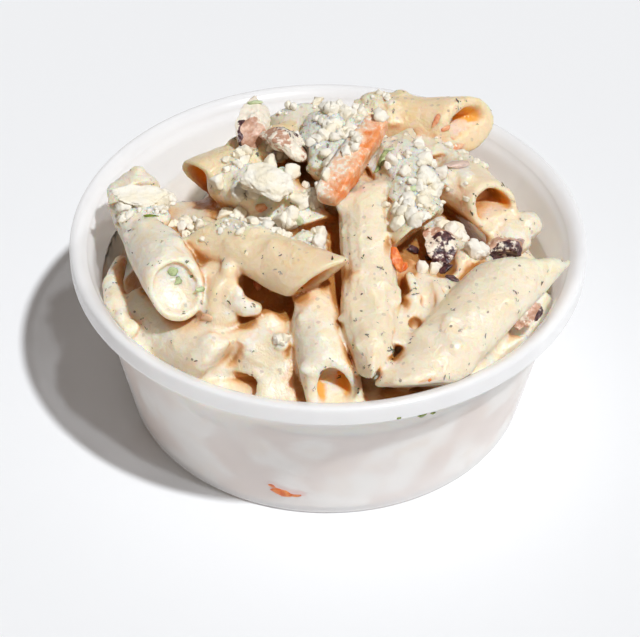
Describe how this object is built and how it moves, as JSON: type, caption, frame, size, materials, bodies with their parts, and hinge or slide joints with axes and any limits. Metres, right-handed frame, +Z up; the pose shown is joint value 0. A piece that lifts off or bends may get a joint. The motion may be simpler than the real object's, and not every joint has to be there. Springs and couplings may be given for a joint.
{
  "type": "greek pasta salad in a deli cup",
  "caption": "Creamy penne salad with feta crumbs, carrot and dark olives, heaped in a round translucent deli cup.",
  "frame": {"origin": "centre of the cup's flat base, on the surface that it stands on", "axes": "+Z up along the cup's axis, -Y towards the front that the picture shows, +X to the right"},
  "size_m": [0.117, 0.117, 0.0695],
  "materials": {
    "cup_plastic": "frosted translucent polypropylene, satin",
    "pasta": "cooked penne coated with creamy dressing, soft wet sheen",
    "carrot": "cut carrot under a thin coat of dressing",
    "olive": "dark purple olive, glossy skin, paler flesh, partly coated",
    "feta": "dry crumbled white cheese"
  },
  "bodies": {
    "root": {"cup": "cup_plastic", "pasta_heap": "pasta", "carrot_stick": "carrot", "olive_wedge": "olive", "olive_slice": "olive", "feta_block": "feta", "feta_left": "feta", "olive_dark": "olive", "olive_low": "olive", "olive_right": "olive"}
  },
  "joints": []
}
